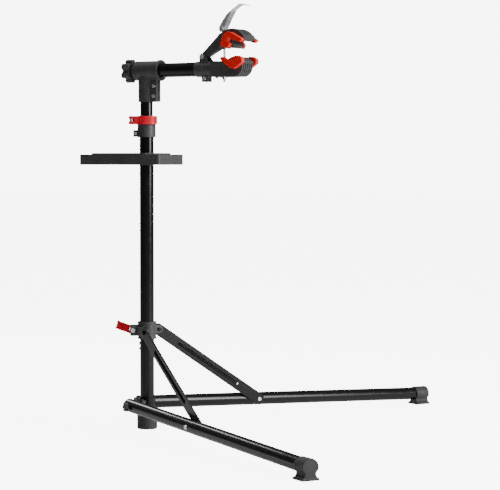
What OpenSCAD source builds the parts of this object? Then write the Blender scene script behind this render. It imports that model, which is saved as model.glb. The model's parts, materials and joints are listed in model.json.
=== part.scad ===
// Folding bicycle work stand: two folding legs, telescopic mast, tool tray and a
// rotating clamp head. Millimetres. Origin: middle of the mast foot on the floor.
// +X points along the clamp arm, +Z up.

/* [Mast] */
// Outside diameter of the fixed mast tube
mast_d = 38; // [36:0.5:42]
// Height of the top end of the fixed mast tube
mast_top = 818; // [780:1:860]
// Wall of the mast, leg and arm tubes
tube_wall = 1.5; // [1.2:0.1:2]
// Outside diameter of the sliding inner mast
inner_d = 33.5; // [31:0.5:34]
// Height of the lower end of the inner mast
inner_low = 140; // [125:1:200]
// Outside diameter of the mast foot
mast_foot_d = 55; // [50:1:64]
// Height of the mast foot
mast_foot_h = 48; // [35:1:55]

/* [Legs] */
// Turn of the leg pair's middle line away from the arm
base_turn = 17; // [-30:1:30]
// Angle from the middle line to each leg
leg_spread = 47; // [35:1:50]
// Outside diameter of a leg tube
leg_d = 35.5; // [32:0.5:38]
// Length of a leg tube
leg_len = 978; // [800:1:1100]
// Distance from the mast axis to a leg's axis
leg_offset = 53.4; // [52:0.2:58]
// Height of a leg's axis at its mast end
leg_high = 67; // [62:0.5:72]
// Height of a leg's axis at its foot end
leg_low = 30.4; // [29:0.2:34]
// Distance of the leg pivot from the leg's mast end
pivot_in = 28; // [24:1:36]
// Diameter of the leg pivot bolts
pivot_d = 8; // [6:1:8]

/* [Feet] */
// Outside diameter of a foot's socket
foot_d = 43; // [40:0.5:46]
// Length of a foot's socket
foot_len = 43; // [36:1:60]
// Width of a foot's base
foot_base_w = 45; // [40:1:60]
// Length of a foot's base
foot_base_l = 48; // [42:1:66]

/* [Struts] */
// Distance of the strut bolt from the leg's mast end
strut_at = 381; // [330:1:420]
// Width of a strut
strut_w = 32; // [26:1:36]
// Thickness of a strut
strut_t = 3; // [2:0.5:4]
// Depth of the pressed ridge along a strut
strut_ridge = 6; // [3:0.5:6]
// Diameter of the strut bolts
strut_bolt_d = 6; // [5:1:7]

/* [Sliding hub] */
// Height of the strut bolts on the hub
hub_bolt_z = 266; // [255:1:320]
// Reach of the strut bolts from the mast, along the leg
hub_reach = 53; // [50:1:62]
// Outside diameter of the hub and of the mast collar
hub_d = 49; // [47:0.5:52]
// Height of the hub
hub_h = 47; // [40:1:50]

/* [Quick release levers] */
// Distance of a lever's pin from the mast axis, along the lugs
lever_pin_x = 40; // [38:1:46]
// Radius of a lever's cam end
lever_cam_r = 7.5; // [6:0.5:8]
// Height of a lever
lever_h = 22; // [18:1:24]
// Thickness of a lever's blade
lever_t = 4.5; // [3.5:0.5:5]
// Opening angle of the hub lever
hub_lever_open = 121; // [100:1:130]
// Tilt of the hub lever about its bolt
hub_lever_tilt = 18; // [0:1:20]

/* [Tool tray] */
// Length of the tray along the arm
tray_l = 264; // [220:1:300]
// Width of the tray
tray_w = 120; // [110:1:150]
// Height of the tray's outer wall
tray_h = 28; // [22:1:34]
// Height of the tray's underside
tray_z = 715; // [700:1:730]
// Distance of the tray's front wall from the mast axis
tray_front = 81; // [70:1:100]
// Wall of the tray
tray_wall = 2.6; // [2:0.1:3.2]

/* [Head] */
// Height of the arm's axis
arm_z = 968; // [950:1:1000]
// Outside diameter of the arm tube
arm_d = 38; // [36:0.5:40]
// Length of the arm from the mast axis to the end inside the clamp
arm_reach = 212; // [200:1:240]
// Outside diameter of the head's barrel
barrel_d = 52; // [50:0.5:56]
// Rear end of the barrel, behind the mast axis
barrel_back = 31; // [28:1:36]
// Front end of the barrel, ahead of the mast axis
barrel_front = 50; // [46:1:60]
// Outside diameter of the head's mast socket
socket_d = 44; // [43:0.5:48]
// Height of the lower end of the mast socket
socket_z = 884; // [878:1:900]
// Diameter across the arm knob's lobes
knob_d = 63; // [54:1:70]

/* [Clamp] */
// Height of the jaw pivot above the arm's axis
jaw_pin_up = 33; // [30:1:40]
// Distance of the jaw pivot from the mast axis
jaw_pin_x = 187; // [182:1:195]
// Angle that the upper jaw stands open
jaw_open = 27; // [20:1:32]
// Middle of the vee in the jaws, from the mast axis
vee_x = 291; // [285:1:300]
// Half width of the jaws between their pads
jaw_half = 28; // [24:1:32]
// Thickness of a pad
pad_t = 15; // [12:1:20]
// Diameter of the clamp's threaded rod
rod_d = 7; // [5:0.5:8]
// Place of the threaded rod along the arm
rod_x = 249.5; // [246:0.5:256]

/* [Clearances] */
// Radial gap of a bolt or tube that turns or slides in its bore
run_gap = 0.05; // [0.02:0.01:0.1]
// Gap between faces of pieces that move past each other
face_gap = 0.3; // [0.2:0.05:0.5]

/* [Hidden] */
$fn = 96;
soft_fn = 32;
skin = 0.01;
cut = 1;
steel_black = "#1c1c1e";
plastic_black = "#2e2e30";
rubber_black = "#262628";
red = "#d93a3f";
pad_red = "#f0402e";
silver = "#c9ccd0";

// Legs and struts, in a plane beside the mast: u runs along the leg
leg_drop = atan2(leg_high - leg_low, leg_len);
pivot_z = leg_high - pivot_in * tan(leg_drop);
strut_foot_z = leg_high - strut_at * tan(leg_drop);
leg_side = leg_offset - leg_d / 2;
strut_out = leg_side - face_gap - run_gap;
strut_in = strut_out - strut_t;
strut_dx = strut_at - hub_reach;
strut_dz = hub_bolt_z - strut_foot_z;
strut_len = sqrt(strut_dx * strut_dx + strut_dz * strut_dz);
strut_drop = atan2(strut_dz, strut_dx);
ear_out = strut_in - face_gap;
ear_t = 7;
bolt_head_t = 3.4;
nut_t = 5;

// Leg bracket
bracket_t = 4;
bracket_out = leg_side - face_gap;
bracket_in = bracket_out - bracket_t;
bracket_z = 50;
bracket_h = 36;
bracket_d = mast_d + 7;
cross_bolt_d = 6;
cross_bolt_z = bracket_z + 26;
pivot_knob_d = 26;
pivot_knob_t = 11;

// Hub and its clamp lugs
hub_z = hub_bolt_z + 2 - hub_h / 2;
hub_lug_turn = base_turn + 205;
lug_reach = lever_pin_x + 5;
lug_half = 9.5;
lug_slit = 3;
clamp_bolt_d = 6;
lever_pin_d = 6;
eye_h = 6.6;
lever_pin_y = lug_half + face_gap + lever_cam_r;
blade_in = hub_d / 2 + 3.5;
blade_out = blade_in + lever_t;
hub_lever_z = hub_bolt_z + 2;
stop_d = 8;

// Upper collar
collar_z = 789;
collar_h = 58;
collar_turn = 212;
collar_lug_z = 799.5;
collar_clamp_z = 835;
bush_h = 40;

// Tray
deck_front = 37;
deck_back = 140;
deck_rise = 4;
tray_floor = 3;
tray_back = tray_l - tray_front;
tray_boss_d = mast_d + 14;
tray_corner = 8;
tray_screw_d = 6;
tray_screw_z = tray_z + 15;

// Head
head_bore = arm_d / 2 + 2.6;
socket_top = arm_z - barrel_d / 2 + 6;
flange_x = 39;
flange_half = 11;
head_bolt_x = 30;
head_bolt_zs = [899.5, 926.5];
arm_back = barrel_back - 4;
knob_front = barrel_back + 10;
knob_t = 23;
stud_d = 8;
ring_d = 57;
ring_t = 6;

// Clamp
sleeve_d = arm_d + 4;
sleeve_x = 164.4;
jaw_x = 221;
jaw_low = arm_z - 22;
jaw_top = arm_z + 19;
nose_x = 322;
nose_r = 26;
fin_depth = 7;
hood_r = 44;
hood_x = -2;
hood_z = -9;
jaw_pin_z = arm_z + jaw_pin_up;
jaw_pin_d = 8;
vee_z = arm_z + 17;
vee_w = 25;
vee_h = 13;
vee_gap = 2;
pad_round = 2.5;
cam_pin_x = 247;
cam_pin_z = 1072;
cam_pin_d = 7;
cam_r = 8.5;
cheek_half = 11;
cheek_t = 1.6;
ear_half = 14;
rod_low = 933;
pinch_x = 194;
pinch_z = arm_z - 24;
fin_n = 6;
fin_t = 5.6;

// ---- placing helpers ----

// Beside the mast: +X along the leg, +Y away from the leg pair's middle line
module beside(side) {
    rotate([0, 0, base_turn]) mirror([0, side < 0 ? 1 : 0, 0])
        rotate([0, 0, leg_spread]) children();
}

// Along a leg: origin at the leg's mast end, +X down the leg's axis
module on_leg(side) {
    beside(side) translate([0, leg_offset, leg_high]) rotate([0, leg_drop, 0]) children();
}

// Along a strut: origin at the hub bolt, +X towards the leg bolt, +Y outward
module on_strut(side) {
    beside(side) translate([hub_reach, 0, hub_bolt_z]) rotate([0, strut_drop, 0]) children();
}

// Lug frame of a collar: lugs point along -X
module on_lug(turn, z) {
    translate([0, 0, z]) rotate([0, 0, turn - 180]) children();
}

// Upper jaw, drawn closed and swung open about the jaw pin
module swung() {
    translate([jaw_pin_x, 0, jaw_pin_z]) rotate([0, -jaw_open, 0]) children();
}

// ---- shared shapes ----

module tube(d, wall, h) {
    difference() {
        cylinder(d = d, h = h);
        translate([0, 0, -cut]) cylinder(d = d - 2 * wall, h = h + 2 * cut);
    }
}

// Cylinder along +Y from y0 to y1
module bar_y(d, y0, y1) {
    translate([0, y0, 0]) rotate([-90, 0, 0]) cylinder(d = d, h = y1 - y0);
}

// Hexagon along +Y from y0 to y1, width across its flats
module hex_y(across, y0, y1) {
    translate([0, y0, 0]) rotate([-90, 0, 0])
        cylinder(d = across / cos(30), h = y1 - y0, $fn = 6);
}

// Round-headed bolt along +Y with its head below y0
module bolt_y(d, head_d, head_t, y0, y1) {
    bar_y(d, y0 - skin, y1);
    bar_y(head_d, y0 - head_t, y0);
}

// Star outline of a lobed knob
module lobes(d, n, lobe) {
    r = d / 2 - lobe;
    circle(r = r - 1);
    for (i = [0:n - 1]) rotate(i * 360 / n) {
        translate([r, 0]) circle(r = lobe);
        translate([0, 0.1 - lobe]) square([r, 2 * lobe - 0.2]);
    }
}

// ---- mast and base ----

module mast_tube() {
    color(steel_black) difference() {
        translate([0, 0, 4]) tube(mast_d, tube_wall, mast_top - 4);
        translate([0, 0, cross_bolt_z]) rotate([0, 0, base_turn])
            bar_y(cross_bolt_d + 2 * run_gap, -mast_d, mast_d);
    }
}

module mast_foot() {
    r = mast_foot_d / 2;
    color(rubber_black) difference() {
        rotate_extrude() difference() {
            union() {
                square([r - 5, mast_foot_h - 2]);
                translate([0, 5]) square([r, mast_foot_h - 7]);
                translate([r - 5, 5]) circle(r = 5);
                square([r - 2, mast_foot_h]);
            }
            translate([-mast_foot_d, -mast_foot_h]) square([mast_foot_d, 3 * mast_foot_h]);
        }
        translate([0, 0, 4 - skin]) cylinder(d = mast_d + 2 * run_gap, h = mast_foot_h);
    }
}

module bracket_plate(side) {
    beside(side) difference() {
        hull() {
            translate([pivot_in, bracket_in, pivot_z]) bar_y(26, 0, bracket_t);
            translate([-bracket_d / 4, bracket_in, bracket_z]) cube([6, bracket_t, bracket_h]);
        }
        translate([pivot_in, 0, pivot_z])
            bar_y(pivot_d + 2 * run_gap, bracket_in - cut, bracket_out + cut);
    }
}

module leg_bracket() {
    color(steel_black) difference() {
        union() {
            translate([0, 0, bracket_z]) cylinder(d = bracket_d, h = bracket_h);
            for (s = [-1, 1]) {
                bracket_plate(s);
                beside(s) translate([-bracket_d / 4 + 2, 0, bracket_z + 3])
                    cube([bracket_d / 2, bracket_in + 1, bracket_h - 6]);
            }
        }
        translate([0, 0, bracket_z - cut])
            cylinder(d = mast_d + 2 * run_gap, h = bracket_h + 2 * cut);
        translate([0, 0, cross_bolt_z]) rotate([0, 0, base_turn])
            bar_y(cross_bolt_d + 2 * run_gap, -bracket_d, bracket_d);
    }
}

module bracket_bolt() {
    reach = bracket_d / 2 + 8;
    color(silver) rotate([0, 0, base_turn]) translate([0, 0, cross_bolt_z]) {
        bolt_y(cross_bolt_d, 11, bolt_head_t, -reach, reach);
        hex_y(10, reach - skin, reach + nut_t);
    }
}

module leg_pivot_bolts() {
    color(silver) for (s = [-1, 1]) beside(s) translate([pivot_in, 0, pivot_z])
        bolt_y(pivot_d, 14, bolt_head_t, bracket_in - face_gap, leg_offset + leg_d / 2 + 4);
}

module leg_pivot_knobs() {
    y0 = leg_offset + leg_d / 2 + face_gap;
    color(plastic_black) for (s = [-1, 1]) beside(s) translate([pivot_in, y0, pivot_z])
        difference() {
            rotate([-90, 0, 0]) union() {
                cylinder(d = 17, h = 3);
                translate([0, 0, 2]) linear_extrude(pivot_knob_t - 3) lobes(pivot_knob_d, 6, 3.8);
                cylinder(d = 15, h = pivot_knob_t);
            }
            bar_y(pivot_d + 2 * run_gap, -cut, 4 + 2 * run_gap);
        }
}

module hub_stop_rivets() {
    color(silver) for (z = [218, 232]) translate([0, 0, z]) rotate([0, 0, base_turn + 192])
        rotate([0, 90, 0]) difference() {
            cylinder(d = stop_d, h = mast_d / 2 + 2.4);
            rotate([0, -90, 0]) translate([0, 0, -stop_d])
                cylinder(d = mast_d + 2 * run_gap, h = 2 * stop_d);
        }
}

module leg_tube(side) {
    color(steel_black) difference() {
        on_leg(side) rotate([0, 90, 0]) tube(leg_d, tube_wall, leg_len);
        beside(side) translate([pivot_in, 0, pivot_z])
            bar_y(pivot_d + 2 * run_gap, 0, leg_offset + leg_d);
        beside(side) translate([strut_at, 0, strut_foot_z])
            bar_y(strut_bolt_d + 2 * run_gap, 0, leg_offset + leg_d);
    }
}

module right_leg_tube() { leg_tube(-1); }
module left_leg_tube() { leg_tube(1); }

module leg_plug(side) {
    bore = leg_d - 2 * tube_wall;
    color(rubber_black) on_leg(side) rotate([0, 90, 0]) {
        translate([0, 0, -1.6]) cylinder(d1 = leg_d - 3, d2 = leg_d, h = 1.6);
        translate([0, 0, -skin]) tube(bore, 2, 12);
    }
}

module right_leg_plug() { leg_plug(-1); }
module left_leg_plug() { leg_plug(1); }

// Outline of a foot across the leg: a round socket on a flared base
module foot_outline() {
    r = foot_d / 2;
    b = foot_base_w / 2;
    difference() {
        union() {
            translate([0, leg_low]) circle(r = r);
            translate([-b, 0]) square([2 * b, leg_low - r / 2]);
        }
        for (s = [-1, 1]) translate([s * (b + 1.5), 15]) circle(r = 9.5);
        for (s = [-1, 1]) translate([s * (b + 12), 18]) square([24, 30], center = true);
    }
}

module foot(side) {
    color(rubber_black) difference() {
        beside(side) translate([leg_len - foot_len + 4, leg_offset, 0]) {
            rotate([90, 0, 90]) linear_extrude(foot_len) foot_outline();
            translate([-3, -foot_base_w / 2, 0]) cube([foot_base_l, foot_base_w, 5]);
        }
        on_leg(side) translate([leg_len - foot_len - 4, 0, 0]) rotate([0, 90, 0])
            cylinder(d = leg_d + 2 * run_gap, h = foot_len + 4 + run_gap);
    }
}

module right_foot() { foot(-1); }
module left_foot() { foot(1); }

module leg_bolt(side) {
    y1 = leg_offset + leg_d / 2;
    color(silver) beside(side) translate([strut_at, 0, strut_foot_z]) mirror([0, 1, 0])
        bolt_y(strut_bolt_d, 12, bolt_head_t, -y1, -(leg_side + face_gap));
}

module right_leg_bolt() { leg_bolt(-1); }
module left_leg_bolt() { leg_bolt(1); }

// ---- struts ----

// Section of a strut's pressed middle: a ridge towards the middle line
module ridge_section() {
    w = strut_w / 2;
    polygon([[-w, 0], [-w, strut_t], [-w / 3, strut_t], [0, strut_t - strut_ridge],
        [w / 3, strut_t], [w, strut_t], [w, 0], [w / 3 - 1, 0], [0, -strut_ridge],
        [-w / 3 + 1, 0]]);
}

// Web that closes the ridge where it meets a flat end
module ridge_end() {
    w = strut_w / 3;
    polygon([[-w / 2, strut_t], [w / 2, strut_t], [w / 2 - 1, 0], [0, -strut_ridge],
        [1 - w / 2, 0]]);
}

// Turns a section drawn across a strut to run along it
module on_section() {
    rotate([90, 0, 90]) rotate(90) mirror([0, 1]) children();
}

module strut(side) {
    a = 78;
    b = strut_len - 92;
    color(steel_black) on_strut(side) difference() {
        union() {
            difference() {
                union() {
                    bar_y(strut_w, strut_in, strut_out);
                    translate([strut_len, 0, 0]) bar_y(strut_w, strut_in, strut_out);
                    translate([0, strut_in, -strut_w / 2]) cube([strut_len, strut_t, strut_w]);
                }
                translate([a, strut_in - cut, -strut_w / 2 - cut])
                    cube([b - a, strut_t + 2 * cut, strut_w + 2 * cut]);
            }
            translate([a - skin, strut_in, 0]) on_section()
                linear_extrude(b - a + 2 * skin) ridge_section();
            for (x = [a - skin, b - strut_t]) translate([x, strut_in, 0]) on_section()
                linear_extrude(strut_t) ridge_end();
        }
        bar_y(strut_bolt_d + 2 * run_gap, strut_in - cut, strut_out + cut);
        translate([strut_len, 0, 0])
            bar_y(strut_bolt_d + 2 * run_gap, strut_in - cut, strut_out + cut);
    }
}

module right_strut() { strut(-1); }
module left_strut() { strut(1); }

module strut_studs(side) {
    color(silver) on_strut(side) {
        translate([strut_len, 0, 0]) bolt_y(strut_bolt_d, 11, 3, strut_in, strut_out);
        translate([strut_len - 88, 0, 0]) bar_y(6, strut_in - 1.4, strut_in);
    }
}

module right_strut_studs() { strut_studs(-1); }
module left_strut_studs() { strut_studs(1); }

// ---- sliding hub ----

module lugs(h) {
    translate([-lug_reach, -lug_half, -h / 2]) cube([lug_reach, 2 * lug_half, h]);
}

module lug_cuts(h) {
    translate([-lug_reach - cut, -lug_slit / 2, -h]) cube([lug_reach, lug_slit, 2 * h]);
    translate([-lever_pin_x, 0, 0]) bar_y(clamp_bolt_d + 2 * run_gap, -lug_reach, lug_reach);
}

module hub_ear(side) {
    beside(side) translate([0, ear_out - ear_t, hub_bolt_z]) {
        translate([hub_reach, 0, 0]) bar_y(22, 0, ear_t);
        translate([0, 0, -11]) cube([hub_reach, ear_t, 22]);
        translate([0, -ear_t, -11]) cube([hub_d / 2 - 2, ear_t + 1, 22]);
    }
}

module slide_hub() {
    color(plastic_black) difference() {
        union() {
            translate([0, 0, hub_z]) cylinder(d = hub_d, h = hub_h);
            translate([0, 0, hub_z + hub_h - 6]) cylinder(d = hub_d + 2.4, h = 6);
            translate([0, 0, hub_z]) cylinder(d = hub_d + 1.6, h = 4);
            on_lug(hub_lug_turn, hub_lever_z) lugs(30);
            for (s = [-1, 1]) hub_ear(s);
        }
        translate([0, 0, hub_z - cut]) cylinder(r = mast_d / 2 + run_gap, h = hub_h + 2 * cut);
        on_lug(hub_lug_turn, hub_lever_z) lug_cuts(30);
        for (s = [-1, 1]) beside(s) translate([hub_reach, 0, hub_bolt_z])
            bar_y(strut_bolt_d + 2 * run_gap, 0, strut_out);
    }
}

module hub_strut_bolts() {
    color(silver) for (s = [-1, 1]) beside(s) translate([hub_reach, 0, hub_bolt_z]) {
        bolt_y(strut_bolt_d, 11, bolt_head_t, ear_out - ear_t, strut_out + face_gap);
        hex_y(10, strut_out + face_gap - skin, strut_out + face_gap + nut_t);
    }
}

// Through bolt of a lever clamp, with an eye round the lever's pin
module clamp_bolt(h) {
    translate([-lever_pin_x, 0, 0]) difference() {
        union() {
            bar_y(clamp_bolt_d, -lever_pin_y, lug_half + skin);
            translate([0, -lever_pin_y, -h / 2]) cylinder(d = lever_pin_d + 5, h = h);
            bar_y(12, lug_half, lug_half + 5);
        }
        translate([0, -lever_pin_y, -h]) cylinder(d = lever_pin_d + 2 * run_gap, h = 2 * h);
    }
}

module hub_clamp_bolt() {
    color(silver) on_lug(hub_lug_turn, hub_lever_z) translate([-lever_pin_x, 0, 0])
        rotate([0, hub_lever_tilt, 0]) translate([lever_pin_x, 0, 0])
        mirror([0, 1, 0]) clamp_bolt(eye_h);
}

// Lever wrapped round its collar, in the lug frame, pin at (-x, -y)
module lever_plan() {
    tip_a = -26;
    pin = [-lever_pin_x, -lever_pin_y];
    mid = (blade_in + blade_out) / 2;
    difference() {
        circle(r = blade_out);
        circle(r = blade_in);
        polygon([[0, 0], 90 * [cos(tip_a), sin(tip_a)], [90, 90], [-90, 90], [-90, -90],
            90 * [cos(-128), sin(-128)]]);
    }
    translate(mid * [cos(tip_a), sin(tip_a)]) circle(d = lever_t, $fn = soft_fn);
    hull() {
        translate(mid * [cos(-128), sin(-128)]) circle(d = lever_t, $fn = soft_fn);
        translate(pin + [2, -lever_cam_r / 2]) circle(r = lever_cam_r / 2, $fn = soft_fn);
    }
    translate(pin) circle(r = lever_cam_r);
}

module lever() {
    slot = 3;
    difference() {
        translate([0, 0, -lever_h / 2]) linear_extrude(lever_h) lever_plan();
        for (z = [-3.4, 3.4]) translate([0, 0, z - slot / 2]) difference() {
            cylinder(r = blade_out + cut, h = slot);
            translate([0, 0, -cut]) cylinder(r = blade_out - 1.8, h = slot + 2 * cut);
            translate([0, 0, -cut]) linear_extrude(slot + 2 * cut) polygon([[0, 0],
                90 * [cos(-36), sin(-36)], [90, 90], [-90, 90], [-90, -90],
                90 * [cos(-118), sin(-118)]]);
        }
        translate([-lever_pin_x, -lever_pin_y, -lever_h]) {
            cylinder(d = lever_pin_d + 2 * run_gap, h = 2 * lever_h);
            translate([-14, -12, lever_h - 3.6]) cube([21.5, 24, 7.2]);
        }
    }
}

module hub_lever_place() {
    on_lug(hub_lug_turn, hub_lever_z) translate([-lever_pin_x, lever_pin_y, 0])
        rotate([0, hub_lever_tilt, 0]) rotate([0, 0, hub_lever_open])
        translate([lever_pin_x, -lever_pin_y, 0]) mirror([0, 1, 0]) children();
}

module hub_lever() {
    color(red) hub_lever_place() lever();
}

module lever_pin() {
    translate([-lever_pin_x, -lever_pin_y, -lever_h / 2 - 0.5])
        cylinder(d = lever_pin_d, h = lever_h + 1);
}

module hub_lever_pin() {
    color(silver) hub_lever_place() lever_pin();
}

// ---- upper collar ----

module mast_collar() {
    color(plastic_black) difference() {
        union() {
            translate([0, 0, collar_z]) cylinder(d = hub_d, h = collar_h);
            on_lug(collar_turn, collar_clamp_z) lugs(lever_h);
            on_lug(collar_turn, collar_lug_z)
                translate([-36, -6, -9]) cube([30, 12, 18]);
        }
        translate([0, 0, collar_z - cut])
            cylinder(d = mast_d + 2 * run_gap, h = mast_top + cut - collar_z);
        translate([0, 0, collar_z]) cylinder(d = inner_d + 2 * run_gap + 1, h = collar_h + cut);
        on_lug(collar_turn, collar_clamp_z) lug_cuts(24);
        on_lug(collar_turn, collar_lug_z) {
            translate([-38, -lug_slit / 2, -12]) cube([26, lug_slit, 22]);
            translate([-30, 0, 0]) bar_y(5 + 2 * run_gap, -20, 20);
        }
    }
}

module collar_bolt() {
    color(silver) on_lug(collar_turn, collar_lug_z) translate([-30, 0, 0]) {
        bolt_y(5, 9, 3, -6, 6 + skin);
        hex_y(8, 6, 6 + 4);
    }
}

module collar_clamp_bolt() {
    color(silver) on_lug(collar_turn, collar_clamp_z) clamp_bolt(eye_h);
}

module collar_lever() {
    color(red) on_lug(collar_turn, collar_clamp_z) lever();
}

module collar_lever_pin() {
    color(silver) on_lug(collar_turn, collar_clamp_z) lever_pin();
}

// ---- inside the mast ----

module mast_bushing() {
    color(rubber_black) translate([0, 0, mast_top - bush_h])
        tube(mast_d - 2 * tube_wall - 2 * run_gap, (mast_d - 2 * tube_wall - inner_d) / 2
            - 2 * run_gap, bush_h);
}

module guide_bush() {
    color(rubber_black) translate([0, 0, inner_low - 12]) difference() {
        union() {
            cylinder(d = mast_d - 2 * tube_wall - 2 * run_gap, h = 12 - run_gap);
            cylinder(d = inner_d - 2 * tube_wall - 2 * run_gap, h = 30);
        }
        translate([0, 0, -cut]) cylinder(d = inner_d - 2 * tube_wall - 6, h = 40);
    }
}

module inner_mast() {
    color(steel_black) translate([0, 0, inner_low])
        tube(inner_d, tube_wall, socket_top - inner_low - 8);
}

// ---- tool tray ----

module tray_plan(x0, x1, w, r) {
    hull() for (x = [x0 + r, x1 - r], y = [-w / 2 + r, w / 2 - r])
        translate([x, y]) circle(r = r, $fn = soft_fn);
}

module tool_tray() {
    w_in = tray_w - 2 * tray_wall;
    color(plastic_black) difference() {
        union() {
            difference() {
                union() {
                    translate([0, 0, tray_z]) linear_extrude(tray_h)
                        tray_plan(-tray_back, tray_front, tray_w, tray_corner);
                    translate([-deck_back, -tray_w / 2 + 1, tray_z])
                        cube([deck_back + deck_front, tray_w - 2, tray_h + deck_rise]);
                }
                for (span = [[-tray_back + tray_wall, -deck_back],
                        [-deck_back + tray_wall, deck_front - tray_wall],
                        [deck_front, tray_front - tray_wall]])
                    translate([span[0], -w_in / 2, tray_z + tray_floor])
                        cube([span[1] - span[0], w_in, tray_h + deck_rise]);
            }
            translate([0, 0, tray_z]) cylinder(d = tray_boss_d, h = tray_h);
            translate([-tray_boss_d / 2 - 6, -8, tray_z]) cube([12, 16, tray_h]);
        }
        translate([0, 0, tray_z - cut]) cylinder(d = mast_d + 2 * run_gap, h = tray_h + 2 * cut);
        translate([-tray_boss_d, 0, tray_screw_z]) rotate([0, 90, 0])
            cylinder(d = tray_screw_d + 2 * run_gap, h = tray_boss_d);
    }
}

module tray_screw() {
    color(plastic_black) translate([-mast_d / 2 - face_gap, 0, tray_screw_z])
        rotate([0, -90, 0]) {
            cylinder(d = tray_screw_d, h = 20);
            translate([0, 0, 14]) linear_extrude(7) lobes(20, 5, 3.4);
        }
}

// ---- head ----

module bar_x(d, x0, x1) {
    translate([x0, 0, arm_z]) rotate([0, 90, 0]) cylinder(d = d, h = x1 - x0);
}

module head_casting() {
    color(plastic_black) difference() {
        union() {
            bar_x(barrel_d, -barrel_back, barrel_front);
            bar_x(ring_d, barrel_front - ring_t, barrel_front);
            translate([0, 0, socket_z]) cylinder(d = socket_d, h = arm_z - socket_z);
            translate([0, -flange_half, socket_z])
                cube([flange_x, 2 * flange_half, socket_top - socket_z]);
        }
        bar_x(2 * head_bore, -barrel_back + 4, barrel_front + cut);
        bar_x(stud_d + 6, -barrel_back - cut, 0);
        translate([0, 0, socket_z - cut])
            cylinder(d = inner_d + 2 * run_gap, h = socket_top - socket_z - 8 + cut + run_gap);
        translate([inner_d / 2 - 3, -lug_slit / 2, socket_z - cut])
            cube([flange_x, lug_slit, socket_top - socket_z - 4]);
        for (z = head_bolt_zs) translate([head_bolt_x, 0, z]) {
            bar_y(6 + 2 * run_gap, -flange_half - cut, flange_half + cut);
            bar_y(12, -flange_half - cut, -flange_half + 3);
            hex_y(10.4, flange_half - 3, flange_half + cut);
        }
    }
}

module head_bolts() {
    color(silver) for (z = head_bolt_zs) translate([head_bolt_x, 0, z]) {
        bolt_y(6, 10, 4, -flange_half + 3, flange_half - 3 + skin);
        hex_y(10, flange_half - 3, flange_half + 2);
    }
}

module arm_bushings() {
    color(rubber_black) for (x = [-barrel_back + 6, barrel_front - 16])
        translate([x, 0, arm_z]) rotate([0, 90, 0])
            tube(2 * head_bore - 2 * run_gap, head_bore - arm_d / 2 - 2 * run_gap, 14);
}

module arm_tube() {
    color(steel_black) translate([-arm_back + 3, 0, arm_z]) rotate([0, 90, 0])
        tube(arm_d, tube_wall, arm_reach + arm_back - 3);
}

module arm_end_plug() {
    color(silver) {
        bar_x(arm_d, -arm_back + face_gap, -arm_back + 3);
        bar_x(arm_d - 2 * tube_wall - 2 * run_gap, -arm_back + 3 - skin, -arm_back + 18);
        bar_x(stud_d, -knob_front - 12, -arm_back + 3);
    }
}

module arm_knob() {
    color(plastic_black) translate([-knob_front, 0, arm_z]) rotate([0, -90, 0]) difference() {
        union() {
            translate([0, 0, -10 + face_gap]) cylinder(d = 26, h = 11);
            linear_extrude(knob_t) lobes(knob_d, 6, 8.5);
        }
        translate([0, 0, -12]) cylinder(d = stud_d + 2 * run_gap, h = 12 + 13);
        translate([0, 0, knob_t - 5]) cylinder(d = 24, h = 6);
    }
}

// ---- clamp ----

// Side view of the lower jaw: bed with a vee and a round nose, drawn in X and Z
module lower_profile() {
    difference() {
        union() {
            translate([jaw_x, jaw_low]) square([nose_x - nose_r - jaw_x, jaw_top - jaw_low]);
            translate([nose_x - nose_r - skin, jaw_low + nose_r])
                square([nose_r + skin, jaw_top - jaw_low - nose_r]);
            translate([nose_x - nose_r, jaw_low + nose_r]) circle(r = nose_r);
        }
        polygon([[vee_x - vee_w, jaw_top + skin], [vee_x, jaw_top - vee_h],
            [vee_x + vee_w, jaw_top + skin]]);
    }
}

module flat_y(y0, y1) {
    translate([0, y1, 0]) rotate([90, 0, 0]) linear_extrude(y1 - y0) children();
}

// Slots between the fins that run round the nose
module nose_slots() {
    pitch = 2 * jaw_half / fin_n;
    for (i = [0:fin_n - 1])
        flat_y(-jaw_half + i * pitch + fin_t, -jaw_half + (i + 1) * pitch + (i == fin_n - 1 ? cut : 0))
            difference() {
                translate([nose_x - nose_r - 12, jaw_low - cut])
                    square([nose_r + 14, jaw_top - jaw_low - 6]);
                translate([nose_x - nose_r, jaw_low + nose_r]) circle(r = nose_r - fin_depth);
                translate([nose_x - nose_r - 14, jaw_low + fin_depth]) square([14, 60]);
                translate([nose_x - nose_r, jaw_low + nose_r]) square([nose_r - fin_depth, 60]);
            }
}

module lower_jaw() {
    ear_x0 = jaw_pin_x - 8;
    color(plastic_black) difference() {
        union() {
            flat_y(-jaw_half, jaw_half) lower_profile();
            bar_x(sleeve_d, sleeve_x, jaw_x + 4);
            for (s = [-1, 1]) translate([0, s * (ear_half - 2), 0]) hull() {
                translate([jaw_pin_x, 0, jaw_pin_z]) bar_y(16, -2, 2);
                translate([ear_x0, -2, arm_z + 8]) cube([34, 4, 4]);
            }
            translate([pinch_x - 10, -10, arm_z - sleeve_d / 2 - 13]) cube([20, 20, 18]);
        }
        bar_x(arm_d + 2 * run_gap, sleeve_x - cut, arm_reach + run_gap);
        translate([jaw_pin_x, 0, jaw_pin_z])
            bar_y(jaw_pin_d + 2 * run_gap, -ear_half - cut, ear_half + cut);
        translate([sleeve_x - cut, -lug_slit / 2, arm_z - sleeve_d / 2 - 14])
            cube([jaw_x - sleeve_x - 4, lug_slit, 24]);
        translate([pinch_x, 0, pinch_z]) bar_y(6 + 2 * run_gap, -12, 12);
        translate([rod_x - 14, -rod_d / 2 - 1.2, jaw_low - cut]) cube([30, rod_d + 2.4, 60]);
        nose_slots();
    }
}

module pinch_bolt() {
    color(silver) translate([pinch_x, 0, pinch_z]) {
        bolt_y(6, 10, 4, -10, 10 + skin);
        hex_y(10, 10, 15);
    }
}

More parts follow.
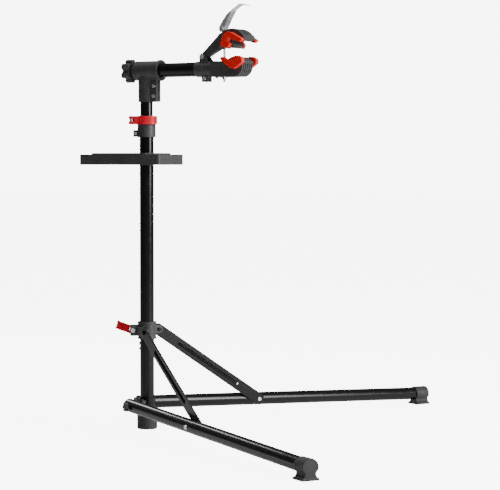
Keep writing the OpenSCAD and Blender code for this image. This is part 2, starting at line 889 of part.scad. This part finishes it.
// Outlines of the rubber pads from the vee's bottom, in X and Z
lower_pad = [[-30, 7], [-27, 12], [-21, 12], [-2, 1], [16, 14], [26, 14], [38, 7], [38, -4],
    [13, -20], [-2, -16]];
upper_pad = [[-25, 4], [-5, 23], [10, 25], [19, 18], [40, -11], [40, -17], [30, -17], [6, 9],
    [-1, 3], [2, -7], [-8, -14], [-22, -3]];

module jaw_pads(outline) {
    for (s = [-1, 1]) translate([0, s * (jaw_half + face_gap / 2 + pad_t / 2), 0])
        flat_y(-pad_t / 2 + face_gap / 2, pad_t / 2) offset(r = pad_round)
            offset(delta = -pad_round) polygon(outline);
}

module lower_jaw_pads() {
    color(pad_red) translate([vee_x, 0, vee_z]) jaw_pads(lower_pad);
}

module jaw_pin() {
    color(silver) translate([jaw_pin_x, 0, jaw_pin_z])
        bolt_y(jaw_pin_d, 13, 3, -ear_half, ear_half + 2);
}

module jaw_screw() {
    color(silver) translate([rod_x - 24, 0, jaw_low - 3]) cylinder(d = 7, h = 3);
}

// Side view of the upper jaw, drawn closed, from the jaw pin: a hood over a vee
module upper_profile() {
    x = vee_x - jaw_pin_x;
    z = vee_z - jaw_pin_z + vee_gap;
    difference() {
        intersection() {
            translate([x + hood_x, z + hood_z]) circle(r = hood_r);
            translate([x - 40, z - 13]) square([90, 60]);
        }
        polygon([[x + 3, z - 14], [x + 1, z + 3], [x + 6, z + 12], [x + 30, z - 14]]);
        polygon([[x - 60, z + 4], [x - 26, z + 4], [x - 8, z - 14], [x - 60, z - 14]]);
    }
}

// Slots between the fins on the hood's front
module hood_slots() {
    x = vee_x - jaw_pin_x;
    z = vee_z - jaw_pin_z + vee_gap;
    pitch = 2 * jaw_half / fin_n;
    for (i = [0:fin_n - 1])
        flat_y(-jaw_half + i * pitch + fin_t, -jaw_half + (i + 1) * pitch + (i == fin_n - 1 ? cut : 0))
            difference() {
                translate([x + 14, z]) square([40, 40]);
                translate([x + hood_x, z + hood_z]) circle(r = hood_r - fin_depth);
            }
}

// Place of the cam pin from the jaw pin, with the jaw drawn closed
function cam_seat() = let (dx = cam_pin_x - jaw_pin_x, dz = cam_pin_z - jaw_pin_z)
    [dx * cos(jaw_open) + dz * sin(jaw_open), dz * cos(jaw_open) - dx * sin(jaw_open)];

module upper_jaw() {
    x = vee_x - jaw_pin_x;
    z = vee_z - jaw_pin_z + vee_gap;
    arm_half = ear_half - 4 - face_gap;
    seat = cam_seat();
    seat_z = seat[1] - cam_r - face_gap;
    color(plastic_black) swung() difference() {
        union() {
            flat_y(-jaw_half, jaw_half) upper_profile();
            hull() {
                bar_y(15, -arm_half, arm_half);
                translate([x - 44, -arm_half, z + 7]) cube([10, 2 * arm_half, 22]);
                translate([seat[0] - 16, -arm_half, seat_z - 9]) cube([10, 2 * arm_half, 9]);
            }
            translate([seat[0] - 16, -13, z + 8]) cube([26, 26, seat_z - z - 8]);
        }
        bar_y(jaw_pin_d + 2 * run_gap, -ear_half, ear_half);
        translate([seat[0] - 38, -rod_d / 2 - 1.2, z - 20]) cube([44, rod_d + 2.4, 90]);
        hood_slots();
    }
}

module upper_jaw_pads() {
    color(pad_red) swung()
        translate([vee_x - jaw_pin_x, 0, vee_z - jaw_pin_z + vee_gap]) jaw_pads(upper_pad);
}

module cam_pin() {
    color(silver) translate([cam_pin_x, 0, cam_pin_z])
        bolt_y(cam_pin_d, 13, 2, -cheek_half - 0.5, cheek_half + 2);
}

// Side view of the cam lever from its pin: curved back with tapering cheeks
module lever_side() {
    pts = [[-8, 3], [-1, 15], [15, 36], [33, 49.5], [56, 63.5], [76, 58.5]];
    for (i = [0:len(pts) - 2]) hull() {
        translate(pts[i]) circle(r = 0.8, $fn = soft_fn);
        translate(pts[i + 1]) circle(r = 0.8, $fn = soft_fn);
    }
}

module cam_lever() {
    color(silver) translate([cam_pin_x, 0, cam_pin_z]) difference() {
        union() {
            flat_y(-cheek_half, cheek_half) lever_side();
            for (s = [-1, 1]) translate([0, s * (cheek_half - cheek_t / 2), 0])
                flat_y(-cheek_t / 2, cheek_t / 2) {
                    circle(r = cam_r);
                    polygon([[-8, 3], [-1, 15], [15, 36], [33, 49.5], [34, 49], [17, 20], [8, 2]]);
                }
        }
        bar_y(cam_pin_d + 2 * run_gap, -cheek_half - cut, cheek_half + cut);
    }
}

module clamp_rod() {
    color(silver) difference() {
        union() {
            translate([rod_x, 0, rod_low]) cylinder(d = rod_d, h = cam_pin_z - rod_low);
            translate([cam_pin_x, 0, cam_pin_z]) bar_y(13, -4.5, 4.5);
        }
        translate([cam_pin_x, 0, cam_pin_z]) bar_y(cam_pin_d + 2 * run_gap, -6, 6);
    }
}

module clamp_nut() {
    color(silver) translate([rod_x, 0, jaw_low - face_gap - 6]) difference() {
        cylinder(d = 12 / cos(30), h = 6, $fn = 6);
        translate([0, 0, -cut]) cylinder(d = rod_d + 2 * run_gap, h = 8);
    }
}

mast_tube();
mast_foot();
leg_bracket();
bracket_bolt();
leg_pivot_bolts();
leg_pivot_knobs();
hub_stop_rivets();
right_leg_tube();
left_leg_tube();
right_leg_plug();
left_leg_plug();
right_foot();
left_foot();
right_leg_bolt();
left_leg_bolt();
slide_hub();
hub_strut_bolts();
hub_clamp_bolt();
hub_lever();
hub_lever_pin();
right_strut();
left_strut();
right_strut_studs();
left_strut_studs();
mast_collar();
collar_bolt();
collar_clamp_bolt();
collar_lever();
collar_lever_pin();
mast_bushing();
guide_bush();
inner_mast();
tool_tray();
tray_screw();
head_casting();
head_bolts();
arm_bushings();
arm_tube();
arm_end_plug();
arm_knob();
lower_jaw();
pinch_bolt();
lower_jaw_pads();
jaw_pin();
jaw_screw();
upper_jaw();
upper_jaw_pads();
cam_pin();
cam_lever();
clamp_rod();
clamp_nut();
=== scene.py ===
"""Looks of the folding bicycle work stand: moulded and pressed pieces, materials, studio."""

import json
import math

import bmesh
import bpy
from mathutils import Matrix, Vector


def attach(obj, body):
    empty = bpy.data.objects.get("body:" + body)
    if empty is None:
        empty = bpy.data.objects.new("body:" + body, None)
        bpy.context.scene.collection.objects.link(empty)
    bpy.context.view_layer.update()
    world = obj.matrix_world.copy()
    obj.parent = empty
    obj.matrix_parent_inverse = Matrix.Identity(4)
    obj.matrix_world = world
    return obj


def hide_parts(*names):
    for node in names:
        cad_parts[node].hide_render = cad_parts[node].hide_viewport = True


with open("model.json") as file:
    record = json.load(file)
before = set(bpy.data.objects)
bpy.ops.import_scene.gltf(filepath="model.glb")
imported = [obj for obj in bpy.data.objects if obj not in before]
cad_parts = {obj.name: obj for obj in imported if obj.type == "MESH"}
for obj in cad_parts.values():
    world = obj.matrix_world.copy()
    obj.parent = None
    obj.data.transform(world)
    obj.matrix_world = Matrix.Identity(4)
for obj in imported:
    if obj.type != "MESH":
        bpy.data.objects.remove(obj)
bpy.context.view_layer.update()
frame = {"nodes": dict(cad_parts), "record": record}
nodes = frame["nodes"]
body_of_node = {n: b for b, ns in frame["record"]["behaviour"]["bodies"].items() for n in ns}
slot_of_node = {s["node"]: s["material_slot"] for s in frame["record"]["subparts"]}

MM = 0.001

# How the nodes are rounded: remesh grid in mm, smoothing rounds, share of the faces kept.
FOOT = (0.8, 3, 0.4)
COLLAR = (0.8, 3, 0.5)
LEVER = (0.5, 3, 0.6)
JAW = (0.7, 3, 0.5)
PAD = (0.7, 9, 0.4)
STRUT = (0.7, 5, 0.4)
BOLT = (0.3, 3, 0.6)
STUD = (0.25, 3, 0.6)
MOULDED = {
    "mast_foot": (1.0, 4, 0.4),
    "right_foot": FOOT,
    "left_foot": FOOT,
    "slide_hub": COLLAR,
    "mast_collar": COLLAR,
    "hub_lever": LEVER,
    "collar_lever": LEVER,
    "leg_pivot_knobs": (0.6, 4, 0.5),
    "arm_knob": (0.8, 5, 0.5),
    "tray_screw": (0.6, 3, 0.6),
    "tool_tray": (0.9, 3, 0.35),
    "head_casting": COLLAR,
    "lower_jaw": JAW,
    "upper_jaw": JAW,
    "lower_jaw_pads": PAD,
    "upper_jaw_pads": PAD,
    "right_strut": STRUT,
    "left_strut": STRUT,
    "cam_lever": (0.4, 2, 0.6),
    "right_leg_bolt": BOLT,
    "left_leg_bolt": BOLT,
    "head_bolts": BOLT,
    "hub_strut_bolts": BOLT,
    "jaw_pin": BOLT,
    "cam_pin": BOLT,
    "pinch_bolt": BOLT,
    "collar_bolt": BOLT,
    "right_strut_studs": STUD,
    "left_strut_studs": STUD,
    "hub_stop_rivets": BOLT,
}
WELD_DISTANCE = 2e-6
RELAX_FACTOR = 0.5
SHARP_ANGLE = math.radians(60)

# Radiance that only the camera sees, and the world's own light.
FLOOR_GLOW = 7.0
BACK_GLOW = 9.0
AMBIENT = 0.12

FLOOR_HALF_WIDTH = 30
FLOOR_DROP = 0.5 * MM

SENSOR_WIDTH = 36
LENS = 144.9
CAMERA_PLACE = (3.1017, -4.4730, 0.734)
CAMERA_DIRECTION = (-0.5265, 0.8491, -0.0433)
CLIP_START = 0.1
CLIP_END = 100


# ---- materials ----

class Shader:
    """A node material built from one Principled shader and object-space textures."""

    FAC_LOW, FAC_HIGH = 0.3, 0.7

    def __init__(self, name, **values):
        self.material = bpy.data.materials.new(name)
        self.material.use_nodes = True
        tree = self.material.node_tree
        self.nodes, self.links = tree.nodes, tree.links
        self.bsdf = self.nodes["Principled BSDF"]
        for socket, value in values.items():
            self.bsdf.inputs[socket.replace("_", " ")].default_value = value
        self.place = self.nodes.new("ShaderNodeTexCoord").outputs["Object"]

    def stretched(self, scale):
        mapping = self.nodes.new("ShaderNodeMapping")
        mapping.inputs["Scale"].default_value = scale
        self.links.new(self.place, mapping.inputs["Vector"])
        return mapping.outputs["Vector"]

    def noise(self, scale, detail=4.0, rough=0.55, where=None):
        texture = self.nodes.new("ShaderNodeTexNoise")
        texture.inputs["Scale"].default_value = scale
        texture.inputs["Detail"].default_value = detail
        texture.inputs["Roughness"].default_value = rough
        self.links.new(where or self.place, texture.inputs["Vector"])
        return texture.outputs["Fac"]

    def cells(self, scale):
        texture = self.nodes.new("ShaderNodeTexVoronoi")
        texture.inputs["Scale"].default_value = scale
        self.links.new(self.place, texture.inputs["Vector"])
        return texture.outputs["Distance"]

    def spread(self, fac, low, high):
        """Maps a texture's middle values to a range."""
        mapper = self.nodes.new("ShaderNodeMapRange")
        ends = {"From Min": self.FAC_LOW, "From Max": self.FAC_HIGH, "To Min": low, "To Max": high}
        for socket, value in ends.items():
            mapper.inputs[socket].default_value = value
        self.links.new(fac, mapper.inputs["Value"])
        return mapper.outputs["Result"]

    def colours(self, fac, *stops):
        ramp = self.nodes.new("ShaderNodeValToRGB")
        ramp.color_ramp.elements[0].position = self.FAC_LOW
        ramp.color_ramp.elements[-1].position = self.FAC_HIGH
        for element, colour in zip(ramp.color_ramp.elements, stops):
            element.color = (*colour, 1)
        self.links.new(fac, ramp.inputs["Fac"])
        self.links.new(ramp.outputs["Color"], self.bsdf.inputs["Base Color"])

    def rough(self, fac, low, high):
        self.links.new(self.spread(fac, low, high), self.bsdf.inputs["Roughness"])

    def bump(self, fac, strength, depth, after=None):
        bump = self.nodes.new("ShaderNodeBump")
        bump.inputs["Strength"].default_value = strength
        bump.inputs["Distance"].default_value = depth
        self.links.new(fac, bump.inputs["Height"])
        if after:
            self.links.new(after, bump.inputs["Normal"])
        self.links.new(bump.outputs["Normal"], self.bsdf.inputs["Normal"])
        return bump.outputs["Normal"]


def gloss_paint():
    """Black powder coat: glossy, with a faint orange peel and light scuffs along the tubes."""
    s = Shader("black_paint", Specular_IOR_Level=0.32)
    s.colours(s.noise(scale=9), (0.004, 0.004, 0.0046), (0.007, 0.007, 0.0077))
    s.rough(s.noise(scale=55, detail=6, rough=0.6), low=0.16, high=0.24)
    peel = s.bump(s.noise(scale=420, detail=2), strength=0.04, depth=0.0002)
    scuffs = s.noise(scale=1, detail=8, rough=0.7, where=s.stretched((900, 900, 60)))
    s.bump(scuffs, strength=0.02, depth=0.0002, after=peel)
    return s.material


def grained_plastic():
    """Black moulded nylon with a fine spark grain and slightly paler worn patches."""
    s = Shader("black_plastic", Specular_IOR_Level=0.45)
    s.colours(s.noise(scale=38, detail=5, rough=0.6), (0.042, 0.042, 0.044), (0.06, 0.06, 0.062))
    s.rough(s.noise(scale=120, detail=6, rough=0.6), low=0.42, high=0.56)
    grain = s.bump(s.cells(scale=1900), strength=0.14, depth=0.00018)
    s.bump(s.noise(scale=300, detail=3), strength=0.1, depth=0.0003, after=grain)
    return s.material


def black_rubber():
    """Matte rubber with a dusty bloom and a soft uneven skin."""
    s = Shader("black_rubber", Specular_IOR_Level=0.4, Sheen_Weight=0.08, Sheen_Roughness=0.5)
    s.colours(s.noise(scale=45, detail=6, rough=0.65), (0.019, 0.019, 0.021), (0.034, 0.034, 0.036))
    s.rough(s.noise(scale=160, detail=4), low=0.5, high=0.66)
    s.bump(s.noise(scale=900, detail=4), strength=0.2, depth=0.0003)
    return s.material


def lever_plastic():
    """Red glass-filled nylon: satin, with a slight flow mottle."""
    s = Shader("red_plastic", Specular_IOR_Level=0.28)
    s.colours(s.noise(scale=60, detail=5, rough=0.6), (0.7, 0.006, 0.02), (0.8, 0.01, 0.028))
    s.rough(s.noise(scale=150, detail=5), low=0.3, high=0.42)
    s.bump(s.noise(scale=1100, detail=3), strength=0.12, depth=0.0002)
    return s.material


def pad_rubber():
    """Orange-red soft rubber: matte, faintly grained, paler where it is rubbed."""
    s = Shader("red_rubber", Specular_IOR_Level=0.25)
    s.colours(s.noise(scale=70, detail=6, rough=0.6), (0.86, 0.01, 0.004), (0.94, 0.018, 0.008))
    s.rough(s.noise(scale=180, detail=5), low=0.46, high=0.6)
    grain = s.bump(s.cells(scale=1500), strength=0.12, depth=0.0002)
    s.bump(s.noise(scale=240, detail=3), strength=0.1, depth=0.0004, after=grain)
    return s.material


def bright_metal(name, low, high, tint, wear):
    """Plated steel: bright, with fine turning lines and a cloudy film."""
    s = Shader(name, Metallic=1.0, Anisotropic=0.2)
    s.colours(s.noise(scale=110, detail=5, rough=0.6), tint, tuple(c * wear for c in tint))
    s.rough(s.noise(scale=240, detail=6, rough=0.6), low, high)
    turning = s.noise(scale=1, detail=6, rough=0.6, where=s.stretched((2600, 2600, 400)))
    s.bump(turning, strength=0.08, depth=0.0001)
    return s.material


materials = {
    "black_paint": gloss_paint(),
    "black_plastic": grained_plastic(),
    "black_rubber": black_rubber(),
    "red_plastic": lever_plastic(),
    "red_rubber": pad_rubber(),
    "chrome_steel": bright_metal("chrome_steel", 0.26, 0.4, (0.97, 0.97, 0.98), 0.95),
    "zinc_steel": bright_metal("zinc_steel", 0.3, 0.44, (0.93, 0.93, 0.94), 0.9),
}


def dress(piece, slot):
    piece.data.materials.clear()
    piece.data.materials.append(materials[slot])


# ---- pieces ----

def applied(piece):
    """Bakes a piece's modifiers into its mesh."""
    depsgraph = bpy.context.evaluated_depsgraph_get()
    mesh = bpy.data.meshes.new_from_object(piece.evaluated_get(depsgraph))
    piece.modifiers.clear()
    piece.data = mesh


def smooth(mesh, angle):
    """Smooth shading that keeps edges sharper than the angle."""
    work = bmesh.new()
    work.from_mesh(mesh)
    for face in work.faces:
        face.smooth = True
    for edge in work.edges:
        edge.smooth = edge.calc_face_angle(0) < angle
    work.to_mesh(mesh)
    work.free()


def copy_of(node, name):
    """The node's surface as a new closed mesh."""
    mesh = nodes[node].data.copy()
    piece = bpy.data.objects.new(name, mesh)
    bpy.context.scene.collection.objects.link(piece)
    work = bmesh.new()
    work.from_mesh(mesh)
    bmesh.ops.remove_doubles(work, verts=work.verts, dist=WELD_DISTANCE)
    work.to_mesh(mesh)
    work.free()
    return piece


def moulded(node, grid, rounds, keep):
    """A piece shaped like the node with its edges rounded as moulding or pressing leaves them."""
    piece = copy_of(node, node + "_body")
    remesh = piece.modifiers.new("grid", "REMESH")
    remesh.mode, remesh.voxel_size = "VOXEL", grid * MM
    relax = piece.modifiers.new("relax", "SMOOTH")
    relax.factor, relax.iterations = RELAX_FACTOR, rounds
    thin = piece.modifiers.new("thin", "DECIMATE")
    thin.ratio = keep
    applied(piece)
    smooth(piece.data, SHARP_ANGLE)
    dress(piece, slot_of_node[node])
    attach(piece, body_of_node[node])
    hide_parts(node)
    return piece


for node, (grid, rounds, keep) in MOULDED.items():
    moulded(node, grid, rounds, keep)

for node, piece in nodes.items():
    if node not in MOULDED:
        dress(piece, slot_of_node[node])


# ---- studio ----

def panel(name, place, aim, wide, high, power):
    light = bpy.data.lights.new(name, "AREA")
    light.shape, light.size, light.size_y, light.energy = "RECTANGLE", wide, high, power
    lamp = bpy.data.objects.new(name, light)
    lamp.location = place
    lamp.rotation_euler = (Vector(aim) - Vector(place)).to_track_quat("-Z", "Y").to_euler()
    bpy.context.scene.collection.objects.link(lamp)


def camera_glow(tree, surface, strength):
    """Adds white light that only the camera sees, so the background is pale but doesn't light the object."""
    path = tree.nodes.new("ShaderNodeLightPath")
    power = tree.nodes.new("ShaderNodeMath")
    power.operation = "MULTIPLY"
    power.inputs[1].default_value = strength
    tree.links.new(path.outputs["Is Camera Ray"], power.inputs[0])
    glow = tree.nodes.new("ShaderNodeEmission" if surface else "ShaderNodeBackground")
    tree.links.new(power.outputs["Value"], glow.inputs["Strength"])
    return glow


def floor_material():
    s = Shader("studio_white", Specular_IOR_Level=0.1)
    s.colours(s.noise(scale=2), (0.9, 0.9, 0.905), (0.88, 0.88, 0.885))
    s.rough(s.noise(scale=3), low=0.85, high=0.95)
    tree = s.material.node_tree
    both = tree.nodes.new("ShaderNodeAddShader")
    tree.links.new(s.bsdf.outputs["BSDF"], both.inputs[0])
    tree.links.new(camera_glow(tree, True, FLOOR_GLOW).outputs["Emission"], both.inputs[1])
    tree.links.new(both.outputs["Shader"], tree.nodes["Material Output"].inputs["Surface"])
    return s.material


def floor_sheet():
    """A wide flat floor just under the feet."""
    work = bmesh.new()
    bmesh.ops.create_grid(work, x_segments=2, y_segments=2, size=FLOOR_HALF_WIDTH)
    mesh = bpy.data.meshes.new("floor")
    work.to_mesh(mesh)
    work.free()
    floor = bpy.data.objects.new("floor", mesh)
    floor.location.z = -FLOOR_DROP
    bpy.context.scene.collection.objects.link(floor)
    floor.data.materials.append(floor_material())


def soft_sky():
    """White light from all sides."""
    world = bpy.data.worlds.new("studio")
    bpy.context.scene.world = world
    world.use_nodes = True
    tree = world.node_tree
    sky = tree.nodes["Background"]
    sky.inputs["Color"].default_value = (1, 1, 1, 1)
    sky.inputs["Strength"].default_value = AMBIENT
    both = tree.nodes.new("ShaderNodeAddShader")
    tree.links.new(sky.outputs["Background"], both.inputs[0])
    tree.links.new(camera_glow(tree, False, BACK_GLOW).outputs["Background"], both.inputs[1])
    tree.links.new(both.outputs["Shader"], tree.nodes["World Output"].inputs["Surface"])


def photo_camera():
    """A camera where the photograph was taken from."""
    data = bpy.data.cameras.new("camera")
    camera = bpy.data.objects.new("camera", data)
    bpy.context.scene.collection.objects.link(camera)
    bpy.context.scene.camera = camera
    data.sensor_width, data.lens = SENSOR_WIDTH, LENS
    data.clip_start, data.clip_end = CLIP_START, CLIP_END
    camera.location = CAMERA_PLACE
    camera.rotation_euler = Vector(CAMERA_DIRECTION).to_track_quat("-Z", "Y").to_euler()


floor_sheet()
soft_sky()
photo_camera()
panel("key", place=(3.9, 0.5, 1.9), aim=(0.1, 0, 0.7), wide=1.6, high=2.6, power=230)
panel("overhead", place=(0.2, 0.2, 3.6), aim=(0.2, 0.1, 0), wide=3.0, high=3.0, power=75)
panel("rim_strip", place=(-2.6, 1.6, 1.4), aim=(0, 0, 0.6), wide=0.4, high=2.4, power=30)
